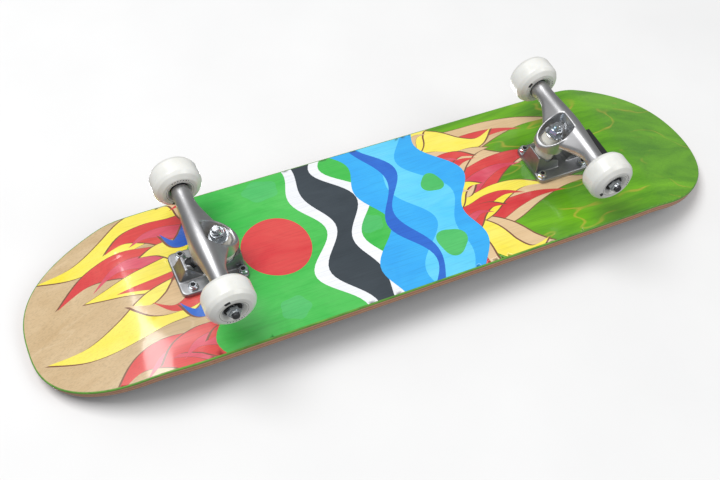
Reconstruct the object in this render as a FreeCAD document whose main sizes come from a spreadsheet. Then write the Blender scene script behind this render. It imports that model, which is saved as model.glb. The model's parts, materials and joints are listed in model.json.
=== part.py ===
"""Street skateboard: a pressed maple deck with grip tape, two kingpin trucks and four wheels on sealed
bearings.

Frame: +Z up, +X towards the nose, +Y to the rider's left; the board stands on its wheels, the origin is on
the ground midway between the ends. Lengths are millimetres, angles degrees.

Each truck is drawn once in its own frame: origin on the deck's underside in the middle of the four mounting
bolts, +X outwards to the board's near end, +Z up. The parts round the kingpin are drawn in the kingpin's
frame: origin in the middle of the hanger's ring, +Z up the pin towards the deck. Wheel parts turn about
their own Y axis. """
import FreeCAD, Part
import math
import os
import Sketcher
from FreeCAD import Placement, Rotation, Vector

DIMENSIONS = dict(
    # deck
    deck_width=203.0, nose_reach=181.0, tail_reach=172.0, wheelbase=362.0, nose_curve=172.0,
    tail_curve=180.0, nose_power=2.9, tail_power=2.7, nose_squareness=2.05, tail_squareness=2.6, ply=1.5,
    core_plies=5, grip_thick=0.8, flat_half=42.0, concave_radius=300.0, kick_start=42.0, kick_radius=90.0,
    nose_angle=20.0, tail_angle=21.0, edge_step=0.6,
    # mounting bolts
    bolt_pitch_long=53.975, bolt_pitch_wide=41.275, bolt_radius=2.4, bolt_hole=2.75, bolt_head=4.6,
    bolt_length=22.8, bolt_key=3.2, bolt_nut_flat=9.5, bolt_nut_high=5.4,
    # baseplate
    flange_thick=5.5, plate_inner=33.0, plate_outer=40.0, plate_half=28.0, plate_corner=6.5, plate_edge=1.2,
    tower_long=32.0, tower_half=16.0, tower_low=30.0, tower_low_half=9.8, tower_low_in=28.4,
    tower_low_out=3.0, tower_crest_x=-28.0, tower_crest_drop=25.0, tower_rear_x=-5.0, tower_rear_drop=15.5,
    cup_clearance=0.6, block_inner=5.0, block_outer=39.9, block_half=11.2, block_low=21.6,
    block_low_half=9.6, block_low_in=27.6, block_low_out=30.6, block_wall=1.4,
    # steering: the ring's middle, the kingpin's lean and the steering axis
    ring_x=-12.2, ring_drop=35.6, kingpin_tilt=12.0, steer_angle=28.0, steer_length=46.6,
    # kingpin stack, outwards from the middle of the ring
    kingpin_radius=4.76, kingpin_head_high=7.0, kingpin_flat=14.3, kingpin_nut_high=9.4, kingpin_proud=3.8,
    ring_half=4.0, ring_outer=17.6, ring_hole=8.6, ring_seat=1.5, seat_radius=12.3, low_bushing=15.5,
    top_bushing=10.5, bushing_radius=11.5, bushing_hole=5.0, top_bushing_end=9.8, cup_thick=1.5,
    low_cup_radius=11.9, top_cup_radius=10.8, head_seat=5.0, head_pocket=9.0,
    # hanger and axle
    axle_x=9.0, axle_drop=54.6, hanger_half=66.5, hanger_end=9.3, hanger_middle=12.2, web_half=55.0,
    web_round=4.5, web_x=-21.0, web_drop=39.0, flank_x=14.0, flank_drop=30.5, flank_round=6.8,
    bowl_radius=15.2, bowl_mouth=16.4, bowl_wall=11.8, bowl_bend=24.0, bowl_lean=13.0, rim_top_x=-29.0,
    rim_top_drop=40.5, rim_low_x=9.0, rim_low_drop=66.8, arm_start=15.0, arm_root=9.5, arm_end=5.0,
    pin_radius=4.3, pin_gap=0.3, pin_cup_wall=1.3, pin_depth=11.0, axle_radius=3.97, axle_half=101.5,
    axle_nut_flat=12.7, axle_nut_high=6.6, washer_thick=0.8, washer_radius=5.8,
    # wheels and 608 bearings
    wheel_radius=26.0, wheel_half=15.6, tread_half=8.0, shoulder_half=12.2, shoulder_radius=23.6,
    side_radius=18.6, dish_radius=13.4, hub_hole=8.6, bearing_radius=11.0, bearing_wide=7.0,
    bearing_gap=10.0, race_out=9.6, race_in=5.9, ball_radius=1.8, ball_track=7.75, ball_count=7,
    shield_thick=0.4, shield_gap=0.4, spacer_radius=5.2,
)


# ---------------------------------------------------------------- the document and its sheet
doc = FreeCAD.newDocument("skateboard")
sheet = doc.addObject("Spreadsheet::Sheet", "dims")
for row, (alias, number) in enumerate(DIMENSIONS.items(), start=1):
    sheet.set(f"A{row}", alias)
    sheet.set(f"B{row}", str(number))
    sheet.setAlias(f"B{row}", alias)
doc.recompute()
kept = []


def size(formula):
    """The number that a formula over the sheet's aliases gives."""
    return float(sheet.evalExpression(formula))


def bind(thing, **formulas):
    """Binds properties to formulas over the sheet. A double underscore in a name stands for a dot."""
    for name, formula in formulas.items():
        thing.setExpression(name.replace("__", "."), formula)
    return thing


def primitive(kind, name, at=None, **formulas):
    thing = bind(doc.addObject(kind, name), **formulas)
    if at is not None:
        thing.Placement = at
    return thing


def boolean(kind, name, *shapes):
    thing = doc.addObject(kind, name)
    if kind == "Part::Cut":
        thing.Base, thing.Tool = shapes
    else:
        thing.Shapes = list(shapes)
    return thing


def cut(name, base, *tools):
    """base less all the tools."""
    tool = tools[0] if len(tools) == 1 else boolean("Part::MultiFuse", name + "_tools", *tools)
    return boolean("Part::Cut", name, base, tool)


def fuse(name, *shapes):
    return boolean("Part::MultiFuse", name, *shapes)


def common(name, *shapes):
    return boolean("Part::MultiCommon", name, *shapes)


def keep(thing, label, frame=None):
    """Marks an object as a sub-part: label names its file. Frame places it from the middle of the
    wheelbase."""
    thing.Label = label
    middle = Placement(Vector(size("(dims.tail_reach - dims.nose_reach) / 2"), 0, 0), Rotation())
    thing.Placement = middle * (frame or Placement()) * thing.Placement
    kept.append(thing)


def outline_sketch(body, name, plane, corners):
    """A closed outline in one of the body's own planes. Its corners are pairs of formulas."""
    sketch = body.newObject("Sketcher::SketchObject", name)
    sketch.AttachmentSupport = [(f, "") for f in body.Origin.OriginFeatures if f.Role == plane]
    sketch.MapMode = "FlatFace"
    points = [Vector(size(across), size(up), 0) for across, up in corners]
    count = len(points)
    for i in range(count):
        sketch.addGeometry(Part.LineSegment(points[i], points[(i + 1) % count]))
    for i in range(count):
        sketch.addConstraint(Sketcher.Constraint("Coincident", i, 2, (i + 1) % count, 1))
    for i, (across, up) in enumerate(corners):
        for kind, formula in (("DistanceX", across), ("DistanceY", up)):
            at = sketch.addConstraint(Sketcher.Constraint(kind, i, 1, size(formula)))
            sketch.setExpression(f"Constraints[{at}]", formula)
    return sketch


def turned(name, corners, plane="XZ_Plane"):
    """A body turned about the sketch's vertical axis: Z in the XZ plane, Y in the XY plane."""
    body = doc.addObject("PartDesign::Body", name)
    sketch = outline_sketch(body, name + "_outline", plane, corners)
    turn = body.newObject("PartDesign::Revolution", name + "_turn")
    turn.Profile = sketch
    turn.ReferenceAxis = (sketch, ["V_Axis"])
    turn.Angle = 360
    body.Tip = turn
    return body


def padded(name, corners, thickness):
    """A body padded upwards from a closed outline in the XY plane."""
    body = doc.addObject("PartDesign::Body", name)
    sketch = outline_sketch(body, name + "_outline", "XY_Plane", corners)
    pad = body.newObject("PartDesign::Pad", name + "_pad")
    pad.Profile = sketch
    pad.setExpression("Length", thickness)
    body.Tip = pad
    return body


def dressed(body, kind, edges, formula):
    """Adds a Fillet or Chamfer to the body's tip on the edges that the test picks."""
    doc.recompute()
    tip = body.Tip
    picked = [f"Edge{i}" for i, e in enumerate(tip.Shape.Edges, start=1) if edges(e)]
    dress = body.newObject("PartDesign::" + kind, body.Name + "_" + kind.lower() + str(len(body.Group)))
    dress.Base = (tip, picked)
    dress.setExpression("Radius" if kind == "Fillet" else "Size", formula)
    body.Tip = dress
    return body


def round_edge(radius, axial=None, along=1, tolerance=0.01):
    """A test for a full circle of that radius, at that height along Y (along=1) or Z (along=2)."""
    def test(edge):
        curve = edge.Curve
        if not isinstance(curve, Part.Circle) or abs(curve.Radius - radius) > tolerance:
            return False
        return axial is None or abs(abs(curve.Center[along]) - abs(axial)) < tolerance
    return test


# ---------------------------------------------------------------- frames
deck_under = "dims.wheel_radius + dims.axle_drop"
truck_x = "dims.wheelbase / 2 + dims.bolt_pitch_long / 2"
ENDS = {"front": 1, "rear": -1}
SIDES = {"left": 1, "right": -1}
RING = Vector(size("dims.ring_x"), 0, -size("dims.ring_drop"))
KINGPIN = Placement(RING, Rotation(Vector(0, 1, 0), -size("dims.kingpin_tilt")))
STEER = Placement(RING, Rotation(Vector(0, 1, 0),
                                 90 - size("dims.steer_angle")))  # +Z out along the steering axis
AXLE = Vector(size("dims.axle_x"), 0, -size("dims.axle_drop"))


def up_pin(formula):
    """A place that far up the kingpin from the middle of the ring."""
    return KINGPIN * Placement(Vector(0, 0, size(formula)), Rotation())


def along_steer(formula):
    """A place that far out along the steering axis from the middle of the ring."""
    return STEER * Placement(Vector(0, 0, size(formula)), Rotation())


def truck_frame(end):
    """Where a truck's frame lies on the board: the rear one is turned to face the other way."""
    sign = ENDS[end]
    turn = Rotation(Vector(0, 0, 1), 0 if sign > 0 else 180)
    return Placement(Vector(sign * size(truck_x), 0, size(deck_under)), turn)


# ---------------------------------------------------------------- deck and grip tape
def half_width(along):
    """Half the deck's width a distance along +X from the middle, a rounded curve over the last stretch of
    each end."""
    end = "nose" if along > 0 else "tail"
    tip = size(f"dims.wheelbase / 2 + dims.bolt_pitch_long + dims.{end}_reach")
    curve = size(f"dims.{end}_curve")
    share = max(0.0, (abs(along) - (tip - curve)) / curve)
    fall = max(0.0, 1 - share ** size(f"dims.{end}_power"))
    return size("dims.deck_width") / 2 * fall ** (1 / size(f"dims.{end}_squareness"))


def square_cut(x, height):
    """How far a layer at that height is drawn in along X, because the edge is cut square to the bent
    surface."""
    end = "nose" if x > 0 else "tail"
    angle = math.radians(size(f"dims.{end}_angle"))
    start = size("dims.wheelbase / 2 + dims.bolt_pitch_long + dims.kick_start")
    share = min(1.0, max(0.0, (abs(x) - start) / (size("dims.kick_radius") * math.sin(angle))))
    return math.copysign(height * math.sin(angle) * share, x)


def deck_outline(inset, height):
    """A layer's plan as a wire: straight sides, and a smooth curve round each end."""
    edges = []
    last = None
    for sign in (1, -1):
        end = "nose" if sign > 0 else "tail"
        tip = size(f"dims.wheelbase / 2 + dims.bolt_pitch_long + dims.{end}_reach")
        start = tip - size(f"dims.{end}_curve")
        steps = 14
        angles = [math.pi / 2 * i / steps for i in range(steps + 1)]
        one_side = [Vector(sign * (start + (tip - start) * math.sin(a)), 0, 0) for a in angles]
        for point in one_side:
            point.y = half_width(point.x) - inset
        one_side[-1] = Vector(sign * (tip - inset), 0, 0)
        for point in one_side:
            point.x -= square_cut(point.x, height)
        mirrored = [Vector(p.x, -p.y, 0) for p in reversed(one_side[:-1])]
        points = one_side + mirrored if sign > 0 else [Vector(p.x, -p.y, 0) for p in one_side + mirrored]
        curve = Part.BSplineCurve()
        heading = Vector(sign, 0, 0)
        curve.interpolate(Points=points, InitialTangent=heading, FinalTangent=-heading)
        if last is not None:
            edges.append(Part.LineSegment(last, points[0]).toShape())
        edges.append(curve.toShape())
        last = points[-1]
    first = edges[0].Vertexes[0].Point
    edges.append(Part.LineSegment(last, first).toShape())
    return Part.Wire(edges)


def press_path():
    """The bent line of the deck's underside, from tail to nose: flat, a bend at each end, then the kick."""
    radius = size("dims.kick_radius")
    parts = {}
    for end, sign in (("tail", -1), ("nose", 1)):
        start = size("dims.wheelbase / 2 + dims.bolt_pitch_long + dims.kick_start")
        angle = math.radians(size(f"dims.{end}_angle"))
        base = Vector(sign * start, 0, 0)
        middle = Vector(sign * (start + radius * math.sin(angle / 2)), 0, radius * (1 - math.cos(angle / 2)))
        top = Vector(sign * (start + radius * math.sin(angle)), 0, radius * (1 - math.cos(angle)))
        beyond = top + Vector(sign * math.cos(angle), 0, math.sin(angle)) * 130
        parts[end] = (base, middle, top, beyond)
    tail_base, tail_middle, tail_top, tail_far = parts["tail"]
    nose_base, nose_middle, nose_top, nose_far = parts["nose"]
    return Part.Wire([
        Part.LineSegment(tail_far, tail_top).toShape(),
        Part.Arc(tail_top, tail_middle, tail_base).toShape(),
        Part.LineSegment(tail_base, nose_base).toShape(),
        Part.Arc(nose_base, nose_middle, nose_top).toShape(),
        Part.LineSegment(nose_top, nose_far).toShape(),
    ])


def press_section(low, high):
    """The cross-section between two heights over the underside: a flat middle and upturned sides."""
    flat = size("dims.flat_half")
    radius = size("dims.concave_radius")
    reach = size("dims.deck_width") / 2 + 8
    sweep = math.asin((reach - flat) / radius)
    path = press_path()
    start = path.Vertexes[0].Point
    heading = (path.Vertexes[1].Point - start).normalize()
    up = Vector(0, 1, 0).cross(heading) * -1
    if up.z < 0:
        up = up * -1

    def place(across, height):
        return start + Vector(0, across, 0) + up * height

    def side(offset, sign):
        bend = radius - offset
        return [place(sign * (flat + bend * math.sin(sweep * share)), radius - bend * math.cos(sweep * share))
                for share in (0, 0.5, 1)]

    below_left, below_right = side(low, -1), side(low, 1)
    above_left, above_right = side(high, -1), side(high, 1)
    return Part.Wire([
        Part.Arc(below_left[2], below_left[1], below_left[0]).toShape(),
        Part.LineSegment(below_left[0], below_right[0]).toShape(),
        Part.Arc(*below_right).toShape(),
        Part.LineSegment(below_right[2], above_right[2]).toShape(),
        Part.Arc(above_right[2], above_right[1], above_right[0]).toShape(),
        Part.LineSegment(above_right[0], above_left[0]).toShape(),
        Part.Arc(*above_left).toShape(),
        Part.LineSegment(above_left[2], below_left[2]).toShape(),
    ])


def shape_feature(name, shape):
    thing = doc.addObject("Part::Feature", name)
    thing.Shape = shape
    return thing


def bolt_places():
    """The four mounting bolts in a truck's frame."""
    return [Vector(x * size("dims.bolt_pitch_long") / 2, y * size("dims.bolt_pitch_wide") / 2, 0)
            for x in (1, -1) for y in (1, -1)]


def deck_bolt_tools(name, radius):
    """Eight upright cylinders where the mounting bolts pass the deck, in the board's frame."""
    tools = []
    for end in ENDS:
        for number, place in enumerate(bolt_places()):
            at = truck_frame(end) * Placement(place - Vector(0, 0, 5), Rotation())
            tools.append(primitive("Part::Cylinder", f"{name}_{end}_{number}", at, Radius=radius,
                                   Height="40"))
    return tools


def bolt_head_tools(name):
    """The countersinks that the bolt heads lie in, flush with the grip tape."""
    tools = []
    top = size("(dims.core_plies + 2) * dims.ply + dims.grip_thick")
    for end in ENDS:
        for number, place in enumerate(bolt_places()):
            depth = size("dims.bolt_head - dims.bolt_radius")
            at = truck_frame(end) * Placement(place + Vector(0, 0, top - depth), Rotation())
            tools.append(primitive("Part::Cone", f"{name}_{end}_{number}", at, Radius1="dims.bolt_radius",
                                   Radius2="dims.bolt_head + 0.1",
                                   Height="dims.bolt_head - dims.bolt_radius"))
    return tools


def layer(name, low, high, inset):
    """One layer of the pressed deck between two heights over its underside, cut to the plan and drilled."""
    slab = Part.Wire(press_path()).makePipeShell([press_section(low, high)], True, False, 1)
    slab.translate(Vector(0, 0, size(deck_under)))
    plan = Part.Face(deck_outline(inset, (low + high) / 2)).extrude(Vector(0, 0, 120))
    plan.translate(Vector(0, 0, size(deck_under) - 20))
    blank = shape_feature(name + "_blank", slab.common(plan))
    return cut(name, blank, *deck_bolt_tools(name + "_drill", "dims.bolt_hole"),
               *bolt_head_tools(name + "_sink"))


def deck():
    ply = size("dims.ply")
    core = ply * size("dims.core_plies")
    top = core + 2 * ply
    step = size("dims.edge_step")
    keep(layer("bottom_veneer", 0.0, ply, step), "deck_bottom_veneer")
    keep(layer("core", ply, ply + core, 0.0), "deck_core_plies")
    keep(layer("top_veneer", ply + core, top, step), "deck_top_veneer")
    keep(layer("grip", top, top + size("dims.grip_thick"), 2 * step), "grip_tape")


# ---------------------------------------------------------------- fasteners
def hex_nut(name, at, flat, high, bore):
    """A locking nut: a hexagon with bevelled corners, and a round collar over its last third. +Z is
    outwards."""
    prism = primitive("Part::Prism", name + "_hexagon", at, Circumradius=f"{flat} / sqrt(3)",
                      Height=f"0.7 * {high}")
    prism.Polygon = 6
    bevel = primitive("Part::Cone", name + "_bevel", at, Radius1=f"0.49 * {flat} + 1.2 * {high}",
                      Radius2=f"0.49 * {flat}", Height=f"0.7 * {high}")
    body = common(name + "_body", prism, bevel)
    collar = primitive("Part::Cone", name + "_collar", at, Radius1=f"0.46 * {flat}", Radius2=f"0.40 * {flat}",
                       Height=high)
    hole = primitive("Part::Cylinder", name + "_bore", at, Radius=bore, Height=high)
    return cut(name, fuse(name + "_blank", body, collar), hole)


def compound(name, pieces):
    group = doc.addObject("Part::Compound", name)
    group.Links = pieces
    return group


def deck_bolt(name, place):
    """A countersunk mounting bolt with a hexagonal key socket, flush with the grip tape."""
    top = "((dims.core_plies + 2) * dims.ply + dims.grip_thick)"
    shank = "dims.bolt_radius"
    end = f"{top} - dims.bolt_length"
    bolt = turned(name, [("0", end), (f"{shank} - 0.5", end), (shank, f"{end} + 0.5"),
                         (shank, f"{top} - (dims.bolt_head - {shank})"), ("dims.bolt_head", top), ("0", top)])
    at = Placement(place, Rotation())
    bolt.Placement = at
    socket = primitive("Part::Prism", name + "_socket", at * Placement(Vector(0, 0, size(top) - 2),
                                                                       Rotation()),
                       Circumradius="dims.bolt_key / sqrt(3)", Height="3")
    socket.Polygon = 6
    return cut(name + "_keyed", bolt, socket)


def mounting_hardware(end):
    bolts = []
    nuts = []
    for number, place in enumerate(bolt_places()):
        bolts.append(deck_bolt(f"{end}_bolt_{number}", place))
        at = Placement(place - Vector(0, 0, size("dims.flange_thick")), Rotation(Vector(1, 0, 0), 180))
        nuts.append(hex_nut(f"{end}_bolt_nut_{number}", at, "dims.bolt_nut_flat", "dims.bolt_nut_high",
                            "dims.bolt_radius"))
    keep(compound(f"{end}_bolts", bolts), f"{end}_mounting_bolts", truck_frame(end))
    keep(compound(f"{end}_nuts", nuts), f"{end}_mounting_nuts", truck_frame(end))


# ---------------------------------------------------------------- baseplate, kingpin and bushings
low_cup_top = "dims.ring_half - dims.ring_seat + dims.low_bushing + dims.cup_thick"
top_cup_end = "dims.ring_half - dims.ring_seat + dims.top_bushing + dims.cup_thick"
pin_mouth = "(dims.steer_length - dims.pin_depth)"
cup_outer = "(dims.pin_radius + dims.pin_gap + dims.pin_cup_wall)"


def socket_tool(name, radius, reach):
    """A round-ended plug along the steering axis, from beyond the socket's mouth to its blind end."""
    at = along_steer(f"{pin_mouth} - 6")
    shank = primitive("Part::Cylinder", name + "_shank", at, Radius=radius,
                      Height=f"{reach} - {radius} - {pin_mouth} + 6")
    ball = primitive("Part::Sphere", name + "_ball", along_steer(f"{reach} - {radius}"), Radius=radius)
    return fuse(name, shank, ball)


def wedge(name, start, end, half, low_start, low_end, low_half, low):
    """A block that tapers away from the deck: its base lies within the flange, its small face is at depth
    low."""
    block = primitive("Part::Wedge", name, Placement(Vector(), Rotation(Vector(1, 0, 0), -90)), Xmin=start,
                      Xmax=end,
                      Zmin=f"-{half}", Zmax=half, Ymin="0.5", Ymax=low, X2min=low_start, X2max=low_end,
                      Z2min=f"-{low_half}", Z2max=low_half)
    return block


def slab_beyond(name, first_x, first_drop, second_x, second_drop):
    """A block beyond the slanted plane through two lines across the truck, on its side away from the deck."""
    first = Vector(size(first_x), 0, -size(first_drop))
    second = Vector(size(second_x), 0, -size(second_drop))
    slope = math.degrees(math.atan2(first.z - second.z, second.x - first.x))
    at = Placement(first, Rotation(Vector(0, 1, 0), slope)) * Placement(Vector(-40, -40, -60), Rotation())
    return primitive("Part::Box", name, at, Length="120", Width="80", Height="60")


def baseplate(end):
    name = end + "_plate"
    inner, outer, half = "-dims.plate_inner", "dims.plate_outer", "dims.plate_half"
    under = "-dims.flange_thick"
    flange = padded(name + "_flange", [(inner, f"-{half}"), (outer, f"-{half}"), (outer, half), (inner,
                                                                                                 half)],
                    "dims.flange_thick")
    flange.Placement = Placement(Vector(0, 0, size(under)), Rotation())
    dressed(flange, "Fillet", lambda e: abs(e.tangentAt(e.FirstParameter).z) > 0.99, "dims.plate_corner")
    dressed(flange, "Fillet", lambda e: all(v.Z < 0.01 for v in e.Vertexes), "dims.plate_edge")
    tower = wedge(name + "_tower", inner, f"{inner} + dims.tower_long", "dims.tower_half",
                  "-dims.tower_low_in",
                  "-dims.tower_low_out", "dims.tower_low_half", "dims.tower_low")
    crest = slab_beyond(name + "_crest", "dims.tower_crest_x", "dims.tower_crest_drop", "dims.tower_rear_x",
                        "dims.tower_rear_drop")
    cup_pocket = primitive("Part::Cylinder", name + "_cup_pocket", up_pin(f"{low_cup_top} - 30"),
                           Radius="dims.low_cup_radius + dims.cup_clearance", Height="30")
    tower = cut(name + "_tower_cut", tower, crest, cup_pocket)
    block = wedge(name + "_block", "dims.block_inner", "dims.block_outer", "dims.block_half",
                  "dims.block_low_in",
                  "dims.block_low_out", "dims.block_low_half", "dims.block_low")
    boss = primitive("Part::Cylinder", name + "_boss", along_steer(pin_mouth + " + 2.5"),
                     Radius=f"{cup_outer} + dims.block_wall", Height="dims.pin_depth - 5")
    beyond_block = primitive("Part::Box", name + "_beyond_block",
                             Placement(Vector(-50, -40, -60 - size("dims.block_low")), Rotation()),
                             Length="100",
                             Width="80", Height="60")
    mouth = primitive("Part::Box", name + "_mouth", along_steer(pin_mouth) * Placement(Vector(-14, -20, -60),
                                                                                       Rotation()),
                      Length="60", Width="40", Height="60")
    block = cut(name + "_block_cut", fuse(name + "_block_boss", block, boss), mouth, beyond_block)
    slab = primitive("Part::Box", name + "_slab", Placement(Vector(-50, -40, -60), Rotation()), Length="100",
                     Width="80", Height="60 - 0.5")
    raised = common(name + "_raised", fuse(name + "_lumps", tower, block), slab)
    holes = [primitive("Part::Cylinder", f"{name}_hole_{number}", Placement(place - Vector(0, 0, 20),
                                                                            Rotation()),
                       Radius="dims.bolt_hole", Height="30") for number, place in enumerate(bolt_places())]
    spots = [primitive("Part::Cylinder", f"{name}_spot_{number}",
                       Placement(place - Vector(0, 0, 14 + size("dims.flange_thick")), Rotation()),
                       Radius="0.62 * dims.bolt_nut_flat", Height="14")
             for number, place in enumerate(bolt_places())]
    pin_hole = primitive("Part::Cylinder", name + "_pin_hole", up_pin("0"),
                         Radius="dims.kingpin_radius + 0.04",
                         Height="50")
    pocket = primitive("Part::Cylinder", name + "_pocket", up_pin(f"{low_cup_top} + dims.head_seat"),
                       Radius="dims.head_pocket", Height="30")
    socket = socket_tool(name + "_socket", cup_outer,
                         "(dims.steer_length + dims.pin_gap + dims.pin_cup_wall)")
    plate = cut(name, fuse(name + "_blank", flange, raised), *holes, *spots, pin_hole, pocket, socket)
    keep(plate, f"{end}_baseplate", truck_frame(end))


def pivot_cup(end):
    """The cup for the hanger's pin. It stands a little out of the baseplate at its mouth."""
    name = end + "_cup"
    outside = socket_tool(name + "_outside", cup_outer,
                          "(dims.steer_length + dims.pin_gap + dims.pin_cup_wall)")
    inside = socket_tool(name + "_inside", "dims.pin_radius + dims.pin_gap",
                         "(dims.steer_length + dims.pin_gap)")
    beyond = primitive("Part::Cylinder", name + "_beyond", along_steer(f"{pin_mouth} - 20"), Radius="20",
                       Height="20")
    keep(cut(name, outside, inside, beyond), f"{end}_pivot_cup", truck_frame(end))


def kingpin(end):
    radius = "dims.kingpin_radius"
    tip = f"-({top_cup_end} + dims.kingpin_nut_high + dims.kingpin_proud)"
    seat = f"{low_cup_top} + dims.head_seat"
    shank = turned(end + "_pin_shank", [("0", tip), (f"{radius} - 1.4", tip), (f"{radius} - 0.4",
                                                                               f"{tip} + 0.5"),
                                        (radius, f"{tip} + 1.6"), (radius, seat), ("0", seat)])
    shank.Placement = KINGPIN
    head = primitive("Part::Prism", end + "_pin_head", up_pin(seat),
                     Circumradius="dims.kingpin_flat / sqrt(3)",
                     Height="dims.kingpin_head_high")
    head.Polygon = 6
    keep(fuse(end + "_pin", shank, head), f"{end}_kingpin", truck_frame(end))
    at = up_pin(f"-({top_cup_end})") * Placement(Vector(), Rotation(Vector(1, 0, 0), 180))
    nut = hex_nut(end + "_pin_nut", at, "dims.kingpin_flat", "dims.kingpin_nut_high", "dims.kingpin_radius")
    keep(nut, f"{end}_kingpin_nut", truck_frame(end))


def bushings(end):
    seat = "(dims.ring_half - dims.ring_seat)"
    hole, radius = "dims.bushing_hole", "dims.bushing_radius"
    top = f"{seat} + dims.low_bushing"
    low = turned(end + "_low_bush", [(hole, seat), (f"{radius} - 0.8", seat), (radius, f"{seat} + 2.5"),
                                     (radius, f"{top} - 2.5"), (f"{radius} - 0.8", top), (hole, top)])
    low.Placement = KINGPIN
    keep(low, f"{end}_boardside_bushing", truck_frame(end))
    end_low = f"-({seat} + dims.top_bushing)"
    cone = turned(end + "_top_bush", [(hole, f"-{seat}"), (f"{radius} - 0.6", f"-{seat}"),
                                      (f"{radius} - 0.6", f"-{seat} - 2"), ("dims.top_bushing_end",
                                                                            f"{end_low} + 1"),
                                      ("dims.top_bushing_end - 0.8", end_low), (hole, end_low)])
    cone.Placement = KINGPIN
    keep(cone, f"{end}_roadside_bushing", truck_frame(end))


def cup_washers(end):
    """The two washers that hold the bushings' ends."""
    hole = "dims.kingpin_radius + 0.06"
    washers = []
    for name, rim, low in (("low", "dims.low_cup_radius", f"{low_cup_top} - dims.cup_thick"),
                           ("top", "dims.top_cup_radius", f"-({top_cup_end})")):
        washer = turned(f"{end}_{name}_washer", [(hole, low), (f"{rim} - 0.4", low), (rim, f"{low} + 0.4"),
                                                 (rim, f"{low} + dims.cup_thick - 0.4"),
                                                 (f"{rim} - 0.4", f"{low} + dims.cup_thick"),
                                                 (hole, f"{low} + dims.cup_thick")])
        washer.Placement = KINGPIN
        washers.append(washer)
    keep(compound(end + "_washers", washers), f"{end}_bushing_washers", truck_frame(end))


# ---------------------------------------------------------------- hanger and axle
def hull(y, circles):
    """The outline round circles in the plane at y: an arc of each, and the lines that touch one and the
    next."""
    edges = []
    for number, (centre, radius) in enumerate(circles):
        before, before_radius = circles[number - 1]
        after, after_radius = circles[(number + 1) % len(circles)]
        arrive = touching_angle(before, before_radius, centre, radius)
        leave = touching_angle(centre, radius, after, after_radius)
        middle = arrive + ((leave - arrive) % (2 * math.pi)) / 2
        edges.append(Part.Arc(*[on_circle(centre, radius, angle, y) for angle in (arrive, middle,
                                                                                  leave)]).toShape())
        edges.append(Part.LineSegment(on_circle(centre, radius, leave, y),
                                      on_circle(after, after_radius, leave, y)).toShape())
    return Part.Wire(edges)


def touching_angle(first, first_radius, second, second_radius):
    """The angle round both circles at which their shared outer line touches them, with both on its left."""
    between = second - first
    heading = math.atan2(between.z, between.x)
    return heading - math.acos((first_radius - second_radius) / math.hypot(between.x, between.z))


def on_circle(centre, radius, angle, y):
    return Vector(centre.x + radius * math.cos(angle), y, centre.z + radius * math.sin(angle))


def hanger_web():
    """The wide body of the hanger: from a thick wedge in the middle it thins to the round axle tubes."""
    half, web_half = size("dims.hanger_half"), size("dims.web_half")
    middle, tube = size("dims.hanger_middle"), size("dims.hanger_end")
    wing = Vector(size("dims.web_x"), 0, -size("dims.web_drop"))
    flank = Vector(size("dims.flank_x"), 0, -size("dims.flank_drop"))
    least = 0.06
    stations = [(half, 0.0), (0.98 * web_half, 0.0)] + [(web_half * share, 1 - share) for share in (0.8, 0.6,
                                                                                                    0.4, 0.2,
                                                                                                    0)]
    stations += [(-y, grow) for y, grow in reversed(stations[:-1])]
    outlines = []
    for y, grow in stations:
        swell = tube + (middle - tube) * grow * grow * (3 - 2 * grow)
        wing_grow, flank_grow = max(least, grow ** 1.6), max(least, grow ** 1.15)
        wing_round = tube - (tube - size("dims.web_round")) * wing_grow ** 0.75
        flank_round = tube - (tube - size("dims.flank_round")) * flank_grow
        outlines.append(hull(y, [(AXLE, swell), (AXLE + (flank - AXLE) * flank_grow, flank_round),
                                 (AXLE + (wing - AXLE) * wing_grow, wing_round)]))
    return Part.makeLoft(outlines, True, False)


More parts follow.
